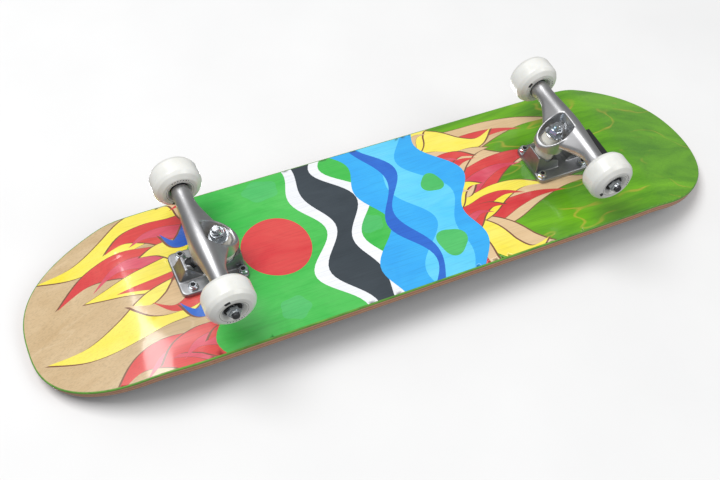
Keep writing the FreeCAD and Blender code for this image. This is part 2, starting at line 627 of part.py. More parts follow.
def hanger(end):
    name = end + "_hanger"
    web = shape_feature(name + "_web", hanger_web())
    ring = primitive("Part::Cylinder", name + "_ring", up_pin("-30"), Radius="dims.ring_outer",
                     Height="30 + dims.ring_half")
    rim = slab_beyond(name + "_rim", "dims.rim_top_x", "dims.rim_top_drop", "dims.rim_low_x",
                      "dims.rim_low_drop")
    ring = cut(name + "_ring_cut", ring, rim)
    arm = primitive("Part::Cone", name + "_arm", along_steer("dims.arm_start"), Radius1="dims.arm_root",
                    Radius2="dims.arm_end", Height=f"{pin_mouth} - 1.2 - dims.arm_start")
    pin = primitive("Part::Cylinder", name + "_pin", along_steer(f"{pin_mouth} - 3"),
                    Radius="dims.pin_radius",
                    Height="dims.pin_depth + 3 - dims.pin_radius")
    ball = primitive("Part::Sphere", name + "_ball", along_steer("dims.steer_length - dims.pin_radius"),
                     Radius="dims.pin_radius")
    bore = primitive("Part::Cone", name + "_bowl_bore", up_pin("-40"), Radius1="dims.bowl_mouth",
                     Radius2="dims.bowl_radius", Height="40 - dims.ring_half")
    bend = up_pin("-dims.bowl_bend") * Placement(Vector(size("dims.bowl_wall"), -40, 0), Rotation())
    upright = primitive("Part::Box", name + "_bowl_upright", bend * Placement(Vector(0, 0, -40), Rotation()),
                        Length="40", Width="80", Height="80")
    lean = Placement(Vector(), Rotation(Vector(0, 1, 0), size("dims.bowl_lean")))
    leaning = primitive("Part::Box", name + "_bowl_leaning", bend * lean * Placement(Vector(0, 0, -40),
                                                                                     Rotation()),
                        Length="40", Width="80", Height="80")
    bowl = cut(name + "_bowl", bore, common(name + "_bowl_wall", upright, leaning))
    seat_low = primitive("Part::Cylinder", name + "_seat_low", up_pin("-dims.ring_half - 1"),
                         Radius="dims.seat_radius", Height="1 + dims.ring_seat")
    seat_top = primitive("Part::Cylinder", name + "_seat_top", up_pin("dims.ring_half - dims.ring_seat"),
                         Radius="dims.seat_radius + 0.9", Height="30")
    hole = primitive("Part::Cylinder", name + "_hole", up_pin("-20"), Radius="dims.ring_hole", Height="40")
    axle_bore = primitive("Part::Cylinder", name + "_axle_bore",
                          Placement(AXLE - Vector(0, 120, 0), Rotation(Vector(1, 0, 0), -90)),
                          Radius="dims.axle_radius", Height="240")
    body = cut(name, fuse(name + "_blank", web, ring, arm, pin, ball), bowl, seat_low, seat_top, hole,
               axle_bore)
    keep(body, f"{end}_hanger", truck_frame(end))


def axle(end):
    radius, half = "dims.axle_radius", "dims.axle_half"
    rod = turned(end + "_axle_rod", [("0", f"-{half}"), (f"{radius} - 0.7", f"-{half}"), (radius,
                                                                                          f"-{half} + 0.7"),
                                     (radius, f"{half} - 0.7"), (f"{radius} - 0.7", half), ("0", half)],
                 "XY_Plane")
    rod.Placement = Placement(AXLE, Rotation())
    keep(rod, f"{end}_axle", truck_frame(end))
    nuts = []
    washers = []
    stack = "dims.hanger_half + 2 * dims.washer_thick + 2 * dims.bearing_wide + dims.bearing_gap"
    for side, sign in SIDES.items():
        outwards = Rotation(Vector(1, 0, 0), -90 * sign)
        at = Placement(AXLE + Vector(0, sign * size(stack), 0), outwards)
        nuts.append(hex_nut(f"{end}_{side}_axle_nut", at, "dims.axle_nut_flat", "dims.axle_nut_high",
                            "dims.axle_radius"))
        for place, start in (("inner", "dims.hanger_half"), ("outer", f"{stack} - dims.washer_thick")):
            at = Placement(AXLE + Vector(0, sign * size(start), 0), outwards)
            blank = primitive("Part::Cylinder", f"{end}_{side}_{place}_washer_blank", at,
                              Radius="dims.washer_radius", Height="dims.washer_thick")
            hole = primitive("Part::Cylinder", f"{end}_{side}_{place}_washer_hole", at,
                             Radius="dims.axle_radius", Height="dims.washer_thick")
            washers.append(cut(f"{end}_{side}_{place}_washer", blank, hole))
    keep(compound(end + "_axle_nut_pair", nuts), f"{end}_axle_nuts", truck_frame(end))
    keep(compound(end + "_washer_set", washers), f"{end}_speed_washers", truck_frame(end))


# ---------------------------------------------------------------- wheels and bearings
def mirrored_corners(corners):
    """The corners of a half outline, from y = 0 outwards, and the same ones mirrored below."""
    return corners + [(radius, f"-({y})") for radius, y in reversed(corners)]


def bearing_places():
    """The y at which each bearing's middle lies from the wheel's middle."""
    offset = size("(dims.bearing_gap + dims.bearing_wide) / 2")
    return (offset, -offset)


def wheel(corner, frame):
    shelf = "dims.bearing_gap / 2"
    face = f"{shelf} + dims.bearing_wide"
    tyre = turned(corner + "_tyre", mirrored_corners([
        ("dims.hub_hole", shelf), ("dims.bearing_radius", shelf), ("dims.bearing_radius", face),
        ("dims.dish_radius", "dims.wheel_half"), ("dims.side_radius", "dims.wheel_half"),
        ("dims.shoulder_radius", "dims.shoulder_half"), ("dims.wheel_radius", "dims.tread_half")]),
                  "XY_Plane")
    dressed(tyre, "Fillet", round_edge(size("dims.wheel_radius")), "4")
    dressed(tyre, "Fillet", round_edge(size("dims.shoulder_radius")), "3")
    dressed(tyre, "Fillet", round_edge(size("dims.side_radius")), "1.5")
    dressed(tyre, "Fillet", round_edge(size("dims.dish_radius")), "0.8")
    keep(tyre, corner + "_wheel", frame)


def bearing_rings(corner, frame):
    """The outer rings, shields, inner rings and balls of a wheel's two bearings, each kind in one node."""
    outer, shields, inner, rolling = [], [], [], []
    half = "dims.bearing_wide / 2"
    shield_in = "dims.race_in + dims.shield_gap"
    for number, middle in enumerate(bearing_places()):
        name = f"{corner}_{number}"
        at = Placement(Vector(0, middle, 0), Rotation())
        ring = turned(name + "_outer", [("dims.race_out", f"-{half}"), ("dims.bearing_radius", f"-{half}"),
                                        ("dims.bearing_radius", half), ("dims.race_out", half)], "XY_Plane")
        ring.Placement = at
        outer.append(ring)
        core = turned(name + "_inner", [("dims.axle_radius", f"-{half}"), ("dims.race_in", f"-{half}"),
                                        ("dims.race_in", half), ("dims.axle_radius", half)], "XY_Plane")
        core.Placement = at
        inner.append(core)
        for side, low in (("a", f"-{half} + 0.3"), ("b", f"{half} - 0.3 - dims.shield_thick")):
            shield = turned(f"{name}_shield_{side}", [(shield_in, low), ("dims.race_out", low),
                                                      ("dims.race_out", f"{low} + dims.shield_thick"),
                                                      (shield_in, f"{low} + dims.shield_thick")], "XY_Plane")
            shield.Placement = at
            shields.append(shield)
        rolling.append(ball_set(name, at))
    keep(compound(corner + "_outers", outer), corner + "_bearing_outer_rings", frame)
    keep(compound(corner + "_shields", shields), corner + "_bearing_shields", frame)
    keep(compound(corner + "_inners", inner), corner + "_bearing_inner_rings", frame)
    keep(compound(corner + "_rolling", rolling), corner + "_bearing_balls", frame)


def ball_set(name, at):
    """Seven balls, and the thin cage that spaces them."""
    cage = turned(name + "_cage", [("dims.ball_track - 0.5", "-1.1"), ("dims.ball_track + 0.5", "-1.1"),
                                   ("dims.ball_track + 0.5", "1.1"), ("dims.ball_track - 0.5", "1.1")],
                  "XY_Plane")
    balls = []
    count = int(size("dims.ball_count"))
    for number in range(count):
        angle = 2 * math.pi * number / count
        track = size("dims.ball_track")
        place = Vector(track * math.cos(angle), 0, track * math.sin(angle))
        balls.append(primitive("Part::Sphere", f"{name}_ball_{number}", Placement(place, Rotation()),
                               Radius="dims.ball_radius"))
    rolling = compound(name + "_ball_set", [cut(name + "_pocketed_cage", cage, *balls), *balls])
    rolling.Placement = at
    return rolling


def spacer(corner, frame):
    half = "dims.bearing_gap / 2"
    sleeve = turned(corner + "_sleeve", [("dims.axle_radius", f"-{half}"), ("dims.spacer_radius", f"-{half}"),
                                         ("dims.spacer_radius", half), ("dims.axle_radius", half)],
                    "XY_Plane")
    keep(sleeve, corner + "_bearing_spacer", frame)


def wheel_frame(end, side):
    """The middle of a wheel on the board. A wheel's frame is upright, so left and right wheels are alike."""
    middle = "dims.hanger_half + dims.washer_thick + dims.bearing_wide + dims.bearing_gap / 2"
    axle_x = ENDS[end] * (size(truck_x) + size("dims.axle_x"))
    return Placement(Vector(axle_x, SIDES[side] * size(middle), size("dims.wheel_radius")), Rotation())


# ---------------------------------------------------------------- the board
deck()
for end in ENDS:
    mounting_hardware(end)
    baseplate(end)
    pivot_cup(end)
    kingpin(end)
    bushings(end)
    cup_washers(end)
    hanger(end)
    axle(end)
    for side in SIDES:
        corner = f"{end}_{side}"
        frame = wheel_frame(end, side)
        wheel(corner, frame)
        bearing_rings(corner, frame)
        spacer(corner, frame)

doc.recompute()
failed = [thing.Name for thing in doc.Objects if {"Invalid", "Error"} & set(thing.State)]
bad = [thing.Label for thing in kept if thing.Shape.isNull() or not thing.Shape.isValid()]
if failed or bad:
    raise RuntimeError(f"failed objects: {failed}, bad shapes: {bad}")

os.makedirs("parts", exist_ok=True)
for thing in kept:
    thing.Shape.exportStep(f"parts/{thing.Label}.step")
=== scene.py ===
import bpy
import bmesh
import json
import math
import numpy as np
from mathutils import Matrix, Quaternion, Vector
from mathutils.geometry import delaunay_2d_cdt


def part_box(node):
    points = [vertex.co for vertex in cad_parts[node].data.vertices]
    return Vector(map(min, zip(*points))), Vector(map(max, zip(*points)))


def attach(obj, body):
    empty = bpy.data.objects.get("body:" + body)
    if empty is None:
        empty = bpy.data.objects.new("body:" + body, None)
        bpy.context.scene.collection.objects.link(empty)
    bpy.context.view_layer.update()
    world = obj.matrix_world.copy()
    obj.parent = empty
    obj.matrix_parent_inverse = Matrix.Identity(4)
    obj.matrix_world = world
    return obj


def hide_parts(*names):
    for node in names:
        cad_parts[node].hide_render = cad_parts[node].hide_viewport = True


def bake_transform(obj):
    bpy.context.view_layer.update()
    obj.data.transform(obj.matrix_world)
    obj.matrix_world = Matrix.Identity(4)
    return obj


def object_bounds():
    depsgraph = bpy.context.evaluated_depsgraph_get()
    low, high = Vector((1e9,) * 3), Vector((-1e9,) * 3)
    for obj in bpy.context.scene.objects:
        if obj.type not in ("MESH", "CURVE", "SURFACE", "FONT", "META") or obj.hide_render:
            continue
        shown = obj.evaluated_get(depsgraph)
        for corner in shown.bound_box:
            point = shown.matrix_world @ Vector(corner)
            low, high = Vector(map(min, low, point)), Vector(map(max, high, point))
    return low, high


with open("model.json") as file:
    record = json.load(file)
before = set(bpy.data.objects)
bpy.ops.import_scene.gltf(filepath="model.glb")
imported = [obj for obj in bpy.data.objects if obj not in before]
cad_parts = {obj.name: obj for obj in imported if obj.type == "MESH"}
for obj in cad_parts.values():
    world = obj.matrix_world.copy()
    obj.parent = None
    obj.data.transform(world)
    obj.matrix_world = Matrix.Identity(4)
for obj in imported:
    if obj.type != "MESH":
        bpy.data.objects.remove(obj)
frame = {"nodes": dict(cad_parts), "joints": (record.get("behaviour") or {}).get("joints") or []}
cad_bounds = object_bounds()
nodes = frame["nodes"]
joints = {joint["name"]: joint for joint in frame["joints"]}
ENDS = {"front": 1, "rear": -1}
SIDES = {"left": 1, "right": -1}
MM = 0.001

# ---------------------------------------------------------------- sizes that the looks share, in millimetres
WHEELBASE_HALF = 181.0
BOLT_PITCH = (53.975, 41.275)
TIP = {1: 181.0, -1: 172.0}           # from the outer bolts to the nose's and the tail's tip
END_CURVE = {1: 172.0, -1: 180.0}     # length of each end's rounded stretch
END_POWER = {1: 2.9, -1: 2.7}
END_SQUARENESS = {1: 2.05, -1: 2.6}
KICK = {1: math.radians(20.0), -1: math.radians(21.0)}
KICK_START = WHEELBASE_HALF + BOLT_PITCH[0] + 42.0
KICK_RADIUS = 90.0
FLAT_HALF = 42.0
CONCAVE_RADIUS = 300.0
DECK_HALF = 101.5
PLY = 1.5
DECK_TOP = 7 * PLY
GRIP_TOP = DECK_TOP + 0.8
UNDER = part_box("deck_bottom_veneer")[0].z / MM
MIDDLE = (TIP[-1] - TIP[1]) / 2        # the middle of the wheelbase along X
BOLT_HOLE = 2.75
SINK_DEPTH = 2.2                       # the countersink of a bolt head, and its radius at two heights
SINK_UNDER_GRIP = 3.95
SINK_AT_TOP = 4.75
KINGPIN_TILT = math.radians(12.0)
PRINT_LOW, PRINT_HIGH = -0.12, 0.05    # the printed sheet's faces, over the deck's underside
PRINT_INSET = 1.7
PRINT_HOLE = 2.9


# ---------------------------------------------------------------- materials
def srgb(red, green, blue):
    """A linear colour from 0-255 display values."""
    def linear(value):
        value /= 255
        return value / 12.92 if value < 0.04045 else ((value + 0.055) / 1.055) ** 2.4
    return (linear(red), linear(green), linear(blue), 1.0)


class Surface:
    """A material and short ways to add nodes to it."""

    def __init__(self, name, **shader):
        self.material = bpy.data.materials.new(name)
        self.material.use_nodes = True
        self.tree = self.material.node_tree
        self.shader = self.tree.nodes["Principled BSDF"]
        self.coordinates = self.tree.nodes.new("ShaderNodeTexCoord")
        self.set(**shader)

    def set(self, **inputs):
        """Sets or links inputs of the shader, named with underscores for spaces."""
        for name, value in inputs.items():
            self.put(self.shader.inputs[name.replace("_", " ")], value)

    def put(self, socket, value):
        """Links an output to the socket, or sets it to a plain value."""
        if isinstance(value, bpy.types.NodeSocket):
            self.tree.links.new(value, socket)
        else:
            socket.default_value = value

    def node(self, kind, output=0, settings=None, **inputs):
        """Adds a node and gives one of its outputs. Inputs are named with underscores for spaces."""
        made = self.tree.nodes.new("ShaderNode" + kind)
        for name, value in (settings or {}).items():
            setattr(made, name, value)
        for name, value in inputs.items():
            self.put(made.inputs[name.replace("_", " ")], value)
        return made.outputs[output]

    def place(self, scale=(1, 1, 1), location=(0, 0, 0), rotation=(0, 0, 0)):
        """Object coordinates, stretched."""
        return self.node("Mapping", Vector=self.coordinates.outputs["Object"], Scale=scale, Location=location,
                         Rotation=rotation)

    def noise(self, scale, stretch=(1, 1, 1), detail=4.0, roughness=0.5, distortion=0.0, location=(0, 0, 0)):
        """Fractal noise in object coordinates. A stretch under 1 draws it out along that axis."""
        return self.node("TexNoise", Vector=self.place(stretch, location), Scale=scale, Detail=detail,
                         Roughness=roughness, Distortion=distortion)

    def math(self, operation, first, second=0.0):
        made = self.tree.nodes.new("ShaderNodeMath")
        made.operation = operation
        self.put(made.inputs[0], first)
        self.put(made.inputs[1], second)
        return made.outputs[0]

    def remap(self, value, low, high, to_low=0.0, to_high=1.0, smooth=False):
        """Spreads the range low to high over to_low to to_high, and holds it beyond."""
        kind = "SMOOTHSTEP" if smooth else "LINEAR"
        return self.node("MapRange", settings={"interpolation_type": kind}, Value=value, From_Min=low,
                         From_Max=high, To_Min=to_low, To_Max=to_high)

    def mix(self, factor, first, second, blend="MIX"):
        """Mixes two colours."""
        made = self.tree.nodes.new("ShaderNodeMix")
        made.data_type = "RGBA"
        made.blend_type = blend
        self.put(made.inputs[0], factor)
        self.put(made.inputs[6], first)
        self.put(made.inputs[7], second)
        return made.outputs[2]

    def bump(self, height, strength, distance):
        """Makes the surface uneven by a height map; distance is in metres."""
        made = self.tree.nodes.new("ShaderNodeBump")
        made.inputs["Strength"].default_value = strength
        made.inputs["Distance"].default_value = distance
        self.put(made.inputs["Height"], height)
        self.set(Normal=made.outputs[0])


def lacquer(surface):
    """A clear gloss coat."""
    surface.set(Coat_Weight=1.0, Coat_Roughness=0.13, Coat_IOR=1.5)


def grain_height(surface):
    """Fine pores that run along the board."""
    return surface.noise(900, stretch=(0.03, 1, 1), detail=3)


def ink(name, colour, shade):
    """Brushed colour printed on the veneer, under clear lacquer."""
    surface = Surface(name, Roughness=0.32)
    strokes = surface.noise(34, stretch=(0.45, 1, 1), detail=6, roughness=0.62, distortion=1.2)
    blotches = surface.noise(11, detail=2, location=(0.3, 0.1, 0))
    mixed = surface.math("MULTIPLY", surface.math("ADD", strokes, blotches), 0.5)
    painted = surface.mix(surface.remap(mixed, 0.32, 0.72), srgb(*colour), srgb(*shade))
    pores = surface.remap(grain_height(surface), 0.35, 0.5, 0.9, 1.0)
    surface.set(Base_Color=surface.mix(1.0, painted, pores, "MULTIPLY"))
    lacquer(surface)
    relief = surface.math("ADD", strokes, surface.math("MULTIPLY", grain_height(surface), 0.4))
    surface.bump(relief, 0.12, 0.0002)
    return surface.material


def stained_veneer(name, light, dark, line, line_strength=0.55):
    """Maple under a see-through stain: slow bands, cathedral lines and fine pores."""
    surface = Surface(name, Roughness=0.36)
    warp = surface.noise(7, stretch=(0.5, 1.6, 1), detail=3, roughness=0.55)
    bands = surface.noise(16, stretch=(0.22, 1.3, 1), detail=5, roughness=0.6, distortion=1.5)
    rings = surface.math("FRACT", surface.math("MULTIPLY", warp, 8.5))
    lines = surface.remap(surface.math("ABSOLUTE", surface.math("SUBTRACT", rings, 0.5)), 0.0, 0.07, 1.0, 0.0,
                          True)
    patchy = surface.remap(surface.noise(23, detail=2, location=(3, 1, 0)), 0.44, 0.6)
    lines = surface.math("MULTIPLY", surface.math("MULTIPLY", lines, patchy), line_strength)
    base = surface.mix(surface.remap(bands, 0.34, 0.68), srgb(*dark), srgb(*light))
    base = surface.mix(lines, base, srgb(*line))
    pores = surface.remap(grain_height(surface), 0.34, 0.52, 0.86, 1.0)
    surface.set(Base_Color=surface.mix(1.0, base, pores, "MULTIPLY"))
    lacquer(surface)
    surface.bump(grain_height(surface), 0.1, 0.0002)
    return surface.material


def ply_edge(name, light, dark, pore_scale):
    """The cut edge of a ply, sanded and sealed. End grain has small pores, long grain has streaks."""
    surface = Surface(name, Roughness=0.5, Coat_Weight=0.25, Coat_Roughness=0.25)
    streaks = surface.noise(420, stretch=(pore_scale, pore_scale, 2.5), detail=4, roughness=0.6)
    surface.set(Base_Color=surface.mix(surface.remap(streaks, 0.35, 0.65), srgb(*dark), srgb(*light)))
    surface.bump(streaks, 0.15, 0.0002)
    return surface.material


def grip_surface():
    """Black grit in resin, with glints and slightly worn patches."""
    surface = Surface("grip_grit", Specular_IOR_Level=0.35)
    grit = surface.node("TexVoronoi", Vector=surface.place(), Scale=2600)
    clumps = surface.noise(900, detail=3, roughness=0.7)
    wear = surface.remap(surface.noise(9, detail=4, roughness=0.6), 0.5, 0.75)
    dark = surface.mix(surface.remap(clumps, 0.4, 0.62), srgb(17, 17, 18), srgb(46, 46, 48))
    sparkle = surface.remap(grit, 0.0, 0.16, 0.35, 0.0)
    glints = surface.mix(sparkle, dark, srgb(120, 122, 126))
    surface.set(Base_Color=surface.mix(surface.math("MULTIPLY", wear, 0.25), glints, srgb(74, 73, 72)),
                Roughness=surface.remap(clumps, 0.3, 0.7, 0.72, 0.95))
    surface.bump(surface.math("ADD", grit, clumps), 0.8, 0.0003)
    return surface.material


def cast_metal(name, light, dark, roughness, polish):
    """Cast and tumbled aluminium: fine orange peel, soft stains, and edges rubbed brighter."""
    surface = Surface(name, Metallic=1.0)
    peel = surface.noise(1300, detail=3, roughness=0.6)
    stains = surface.noise(45, detail=5, roughness=0.65, distortion=0.6)
    body = surface.mix(surface.remap(stains, 0.35, 0.7), srgb(*light), srgb(*dark))
    edges = surface.remap(surface.node("NewGeometry", 7), 0.53, 0.62, 0.0, polish, True)
    surface.set(Base_Color=surface.mix(edges, body, srgb(236, 238, 240)))
    rough = surface.remap(stains, 0.3, 0.75, roughness - 0.05, roughness + 0.08)
    surface.set(Roughness=surface.math("SUBTRACT", rough, surface.math("MULTIPLY", edges, 0.12)))
    surface.bump(peel, 0.14, 0.0002)
    return surface.material


def plated_steel(name, light, dark, roughness):
    """Bright steel with a slight haze."""
    surface = Surface(name, Metallic=1.0)
    haze = surface.noise(160, detail=4, roughness=0.6)
    turning = surface.noise(700, detail=2)
    surface.set(Base_Color=surface.mix(surface.remap(haze, 0.35, 0.68), srgb(*light), srgb(*dark)),
                Roughness=surface.remap(haze, 0.3, 0.7, roughness, roughness + 0.12))
    surface.bump(turning, 0.05, 0.0001)
    return surface.material


def black_oxide(name):
    """Blackened steel, rubbed lighter in places."""
    surface = Surface(name, Metallic=0.6)
    wear = surface.noise(500, detail=4, roughness=0.6)
    surface.set(Base_Color=surface.mix(surface.remap(wear, 0.4, 0.75), srgb(24, 24, 26), srgb(62, 62, 66)),
                Roughness=surface.remap(wear, 0.3, 0.7, 0.28, 0.45))
    surface.bump(wear, 0.1, 0.0001)
    return surface.material


def cast_urethane(name, light, dark, roughness, glow=0.12):
    """Poured urethane: slightly cloudy and a little see-through, with a soft gloss."""
    surface = Surface(name, Subsurface_Weight=glow, Subsurface_Radius=(1.0, 0.9, 0.75),
                      Subsurface_Scale=0.004,
                      Coat_Weight=0.35, Coat_Roughness=0.12)
    cloud = surface.noise(55, detail=3, roughness=0.55)
    scuffs = surface.noise(240, detail=5, roughness=0.7)
    surface.set(Base_Color=surface.mix(surface.remap(cloud, 0.35, 0.7), srgb(*light), srgb(*dark)),
                Roughness=surface.remap(scuffs, 0.35, 0.7, roughness, roughness + 0.14))
    surface.bump(scuffs, 0.04, 0.0002)
    return surface


def wheel_surface(name, turn):
    """White urethane, with a plain printed ring and bars on both faces, turned about the axle."""
    surface = cast_urethane(name, (234, 234, 230), (224, 224, 218), 0.26)
    split = surface.node("SeparateXYZ", Vector=surface.place(rotation=(0, 0, turn)))
    x, y, z = (split.node.outputs[i] for i in range(3))
    squares = surface.math("ADD", surface.math("MULTIPLY", x, x), surface.math("MULTIPLY", y, y))
    radius = surface.math("SQRT", squares)
    angle = surface.math("ARCTAN2", y, x)

    def band(value, centre, half, soft):
        away = surface.math("ABSOLUTE", surface.math("SUBTRACT", value, centre))
        return surface.remap(away, half - soft, half + soft, 1.0, 0.0)

    on_face = surface.math("GREATER_THAN", surface.math("ABSOLUTE", z), 13.9 * MM)
    ring = band(radius, 14.7 * MM, 0.16 * MM, 0.05 * MM)
    dashes = surface.math("GREATER_THAN", surface.math("SINE", surface.math("MULTIPLY", angle, 34)), -0.1)
    arc = band(angle, 0.9, 0.62, 0.01)
    bars = band(radius, 16.6 * MM, 0.5 * MM, 0.05 * MM)
    bars = surface.math("MULTIPLY", bars, surface.math("MULTIPLY", dashes, arc))
    block = band(radius, 17.4 * MM, 1.7 * MM, 0.05 * MM)
    block = surface.math("MULTIPLY", block, band(angle, -1.9, 0.17, 0.01))
    print_mask = surface.math("MAXIMUM", surface.math("MAXIMUM", ring, bars), block)
    print_mask = surface.math("MULTIPLY", print_mask, on_face)
    base = surface.shader.inputs["Base Color"].links[0].from_socket
    surface.set(Base_Color=surface.mix(print_mask, base, srgb(38, 38, 40)))
    return surface.material


def black_rubber(name):
    """Matt black rubber or nylon."""
    surface = Surface(name)
    grain = surface.noise(800, detail=3)
    surface.set(Base_Color=surface.mix(surface.remap(grain, 0.4, 0.7), srgb(20, 20, 21), srgb(38, 38, 40)),
                Roughness=surface.remap(grain, 0.3, 0.7, 0.5, 0.7))
    surface.bump(grain, 0.2, 0.0002)
    return surface.material


INKS = {
    "green": ((40, 178, 62), (92, 200, 96)),
    "leaf": ((62, 178, 92), (92, 200, 112)),
    "sky": ((40, 160, 236), (58, 182, 244)),
    "pale_blue": ((72, 196, 244), (112, 214, 248)),
    "deep_blue": ((26, 84, 190), (44, 116, 214)),
    "yellow": ((244, 224, 48), (250, 238, 120)),
    "red": ((208, 44, 52), (226, 92, 84)),
    "rose": ((206, 52, 78), (228, 112, 128)),
    "cream": ((230, 200, 158), (214, 180, 134)),
    "white": ((244, 245, 248), (232, 235, 240)),
    "charcoal": ((44, 54, 62), (62, 72, 80)),
    "seam": ((112, 70, 52), (140, 96, 70)),
    "black": ((18, 18, 19), (30, 30, 32)),
}
ink_materials = {name: ink("ink_" + name, *colours) for name, colours in INKS.items()}
LIME = stained_veneer("veneer_lime", (116, 186, 10), (76, 142, 4), (184, 172, 56), 0.75)
TAN = stained_veneer("veneer_tan", (216, 190, 150), (198, 168, 124), (226, 204, 168), 0.3)
EDGE_GREEN = ply_edge("edge_green", (108, 168, 58), (76, 132, 40), 0.2)
EDGE_MAPLE = ply_edge("edge_maple", (224, 178, 144), (204, 150, 118), 0.15)
EDGE_SALMON = ply_edge("edge_salmon", (212, 144, 118), (190, 120, 94), 1.0)
EDGE_BROWN = ply_edge("edge_brown", (196, 146, 114), (170, 120, 90), 1.0)


# ---------------------------------------------------------------- mesh helpers
def add_piece(name, vertices, faces, materials, face_materials=None, body="deck", smooth_angle=30):
    """A mesh object from points in millimetres. It rides on a body."""
    mesh = bpy.data.meshes.new(name)
    mesh.from_pydata([Vector(v) * MM for v in vertices], [], faces)
    for material in materials:
        mesh.materials.append(material)
    if face_materials is not None:
        mesh.polygons.foreach_set("material_index", face_materials)
    tidy_mesh(mesh)
    mesh.shade_smooth()
    mesh.set_sharp_from_angle(angle=math.radians(smooth_angle))
    piece = bpy.data.objects.new(name, mesh)
    bpy.context.scene.collection.objects.link(piece)
    if body:
        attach(piece, body)
    return piece


def tidy_mesh(mesh):
    """Merges points that coincide and turns every face outwards."""
    work = bmesh.new()
    work.from_mesh(mesh)
    bmesh.ops.remove_doubles(work, verts=work.verts, dist=0.5e-6)
    bmesh.ops.recalc_face_normals(work, faces=work.faces)
    work.to_mesh(mesh)
    work.free()


def rounded(corners, steps=5):
    """A closed profile from corners (across, along, fillet radius), with each fillet as a short arc."""
    points = []
    count = len(corners)
    for i, (across, along, fillet) in enumerate(corners):
        here = Vector((across, along))
        if fillet == 0:
            points.append(here)
            continue
        to_last = (Vector(corners[i - 1][:2]) - here).normalized()
        to_next = (Vector(corners[(i + 1) % count][:2]) - here).normalized()
        half = to_last.angle(to_next) / 2
        reach = fillet / math.tan(half)
        centre = here + (to_last + to_next).normalized() * (fillet / math.sin(half))
        start = here + to_last * reach - centre
        sweep = start.angle_signed(here + to_next * reach - centre)
        for step in range(steps + 1):
            turn = Matrix.Rotation(-sweep * step / steps, 2)
            points.append(centre + turn @ start)
    return points


def lathe(name, profile, place, materials, body, steps=72, smooth_angle=30):
    """Turns a closed profile of (radius, height) about the local Z of place, a 4x4 matrix in millimetres."""
    vertices = []
    faces = []
    count = len(profile)
    for step in range(steps):
        angle = 2 * math.pi * step / steps
        for radius, height in profile:
            vertices.append(Vector((radius * math.cos(angle), radius * math.sin(angle), height)))
    for step in range(steps):
        for i in range(count):
            here, beside = step * count, ((step + 1) % steps) * count
            faces.append((here + i, beside + i, beside + (i + 1) % count, here + (i + 1) % count))
    piece = add_piece(name, vertices, faces, materials, body=None, smooth_angle=smooth_angle)
    matrix = place.copy()
    matrix.translation = place.translation * MM
    piece.matrix_world = matrix
    if body:
        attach(piece, body)
    return piece


def smooth_points(points, steps):
    """Points along a smooth open curve that passes through the given ones."""
    smooth = []
    last = len(points) - 1
    for i in range(last):
        a, b = Vector(points[max(i - 1, 0)]), Vector(points[i])
        c, d = Vector(points[i + 1]), Vector(points[min(i + 2, last)])
        for step in range(steps):
            t = step / steps
            smooth.append(0.5 * (2 * b + (c - a) * t + (2 * a - 5 * b + 4 * c - d) * t * t
                                 + (3 * b - a - 3 * c + d) * t ** 3))
    smooth.append(Vector(points[-1]))
    return smooth


# ---------------------------------------------------------------- the deck's pressed shape
def press(x, y, height):
    """The point over plan position (x, y) at that height over the deck's underside, measured square to it."""
    sign = 1 if x > MIDDLE else -1
    side = max(0.0, abs(y) - FLAT_HALF)
    lift = CONCAVE_RADIUS - math.sqrt((CONCAVE_RADIUS - height) ** 2 - side ** 2)
    beyond = abs(x - MIDDLE) - KICK_START
    if beyond <= 0:
        return Vector((x, y, UNDER + lift))
    kick = KICK[sign]
    bend = KICK_RADIUS - lift
    if beyond < bend * math.sin(kick):
        return Vector((x, y, UNDER + KICK_RADIUS - math.sqrt(bend ** 2 - beyond ** 2)))
    along = (beyond - bend * math.sin(kick)) / math.cos(kick)
    return Vector((x, y, UNDER + KICK_RADIUS - bend * math.cos(kick) + along * math.sin(kick)))


def square_cut(x, height):
    """How far a layer at that height is drawn in along X, because the edge is cut square to the bent
    surface."""
    sign = 1 if x > MIDDLE else -1
    beyond = abs(x - MIDDLE) - KICK_START
    share = min(1.0, max(0.0, beyond / (KICK_RADIUS * math.sin(KICK[sign]))))
    return sign * height * math.sin(KICK[sign]) * share


def plan_outline(steps=40):
    """The deck's plan at its underside, anticlockwise from above: straight sides, a rounded curve at each
    end."""
    quarter = []
    for sign in (1, -1):
        tip = WHEELBASE_HALF + BOLT_PITCH[0] + TIP[sign]
        start = tip - END_CURVE[sign]
        points = []
        for step in range(steps + 1):
            share = math.sin(math.pi / 2 * step / steps)
            half = DECK_HALF * max(0.0, 1 - share ** END_POWER[sign]) ** (1 / END_SQUARENESS[sign])
            points.append((MIDDLE + sign * (start + END_CURVE[sign] * share), half))
        quarter.append(points)
    nose, tail = quarter
    side_steps = 60
    first, last = nose[0][0], tail[0][0]
    side = [(first + (last - first) * i / side_steps, DECK_HALF) for i in range(1, side_steps)]
    left = [(x, y) for x, y in reversed(nose)] + side + tail
    right = [(x, -y) for x, y in reversed(left)][1:-1]
    return [Vector(point) for point in left + right]


def inset_outline(outline, inset):
    """The outline moved inwards, square to itself."""
    count = len(outline)
    moved = []
    for i, point in enumerate(outline):
        along = (outline[(i + 1) % count] - outline[i - 1]).normalized()
        moved.append(point + Vector((-along.y, along.x)) * inset)
    return moved


def bolt_holes():
    """The plan position of each mounting bolt."""
    return [Vector((MIDDLE + end * (WHEELBASE_HALF + BOLT_PITCH[0] / 2) + a * BOLT_PITCH[0] / 2,
                    b * BOLT_PITCH[1] / 2))
            for end in (1, -1) for a in (1, -1) for b in (1, -1)]


def ring_points(centre, radius, steps=20):
    """A circle of points in plan."""
    return [centre + radius * Vector((math.cos(2 * math.pi * i / steps), math.sin(2 * math.pi * i / steps)))
            for i in range(steps)]


